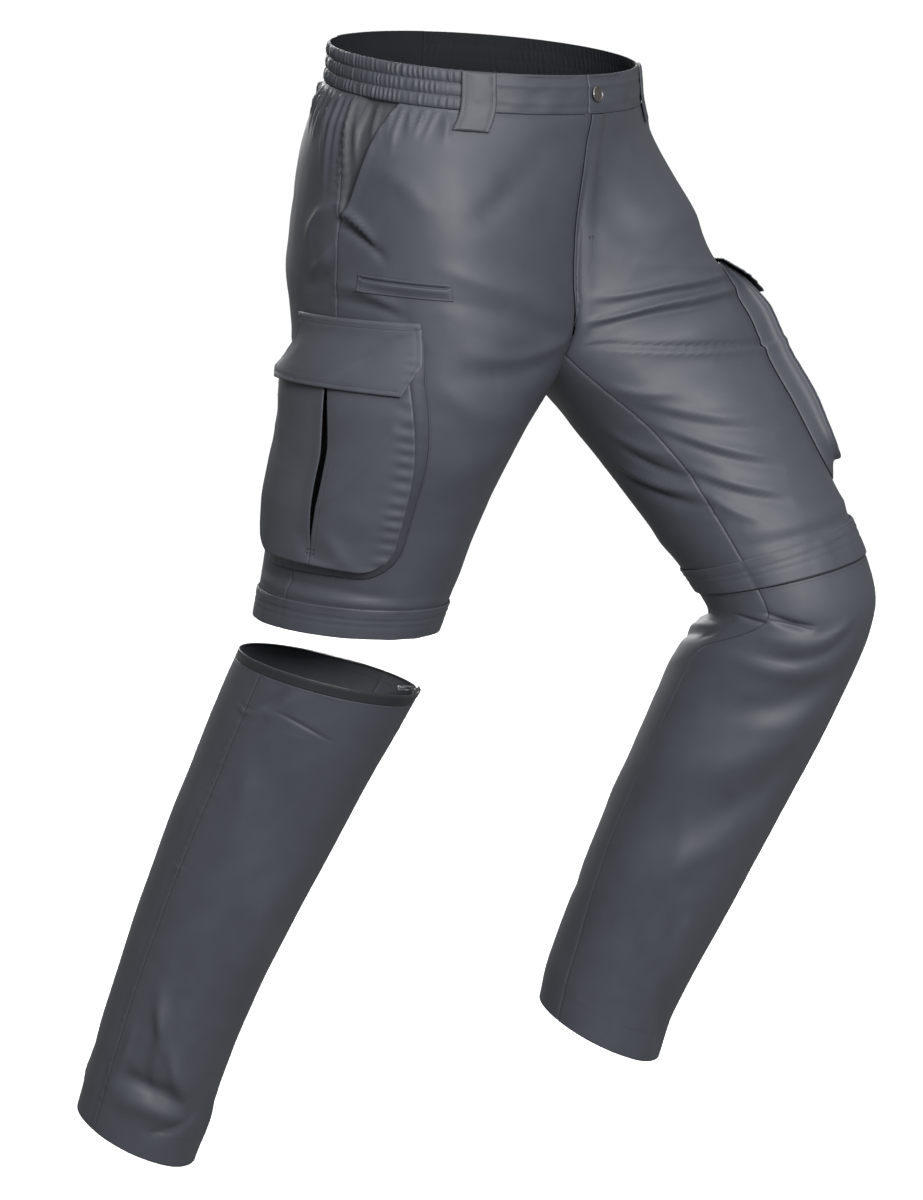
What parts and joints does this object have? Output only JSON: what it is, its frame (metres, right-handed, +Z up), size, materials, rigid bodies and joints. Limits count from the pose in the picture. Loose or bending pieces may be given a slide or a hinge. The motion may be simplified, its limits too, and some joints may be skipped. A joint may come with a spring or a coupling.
{
  "type": "convertible zip-off trousers",
  "caption": "Hollow zip-off trousers in a striding pose: elastic waist, cargo pockets, left leg on, right leg zipped off below.",
  "frame": {"origin": "middle of the waist opening, halfway up the waistband, where the wearer's waist holds the trousers", "axes": "+Z up along the standing wearer, -Y the way the wearer faces, +X towards the wearer's left"},
  "size_m": [0.5031, 0.6499, 1.0846],
  "materials": {
    "fabric": "matt plain-weave grey cloth with a faint sheen",
    "waistband_fabric": "matt plain-weave grey cloth, gathered over elastic at the sides",
    "pocket_facing_fabric": "matt plain-weave grey cloth in the pocket's shade",
    "zip_tape": "dark grey woven zip tape",
    "button_metal": "dull gunmetal",
    "slider_metal": "black enamel",
    "pull_metal": "black enamel with a bare metal end"
  },
  "bodies": {
    "root": {"upper_front_right": "fabric", "upper_front_left": "fabric", "upper_back_right": "fabric", "upper_back_left": "fabric", "cargo_front_right": "fabric", "cargo_front_left": "fabric", "cargo_side_right": "fabric", "cargo_side_left": "fabric", "cargo_gusset_right": "fabric", "cargo_gusset_left": "fabric", "cargo_flap_right": "fabric", "cargo_flap_left": "fabric", "zip_flap_right": "fabric", "zip_flap_left": "fabric", "lower_front_right": "fabric", "lower_front_left": "fabric", "lower_back_right": "fabric", "lower_back_left": "fabric", "welt_pocket_right": "fabric", "waistband_front_left": "waistband_fabric", "waistband_front_right": "waistband_fabric", "waistband_back": "waistband_fabric", "waistband_elastic_right": "waistband_fabric", "waistband_elastic_left": "waistband_fabric", "belt_loop_front_right": "waistband_fabric", "belt_loop_front_left": "waistband_fabric", "belt_loop_back_right": "waistband_fabric", "belt_loop_back_left": "waistband_fabric", "pocket_facing_right": "pocket_facing_fabric", "pocket_facing_left": "pocket_facing_fabric", "zip_tape_upper_right": "zip_tape", "zip_tape_lower_right": "zip_tape", "zip_tape_left": "zip_tape", "button": "button_metal", "zip_slider": "slider_metal"},
    "pull_tab": {"pull_tab": "pull_metal"}
  },
  "joints": [
    {"name": "pull_tab_hinge", "type": "hinge", "parent": "root", "child": "pull_tab", "pos_m": [-0.06497, 0.03236, -0.57242], "axis": [-0.0242, 0.0266, -0.9994], "range_deg": [-45, 45]}
  ]
}
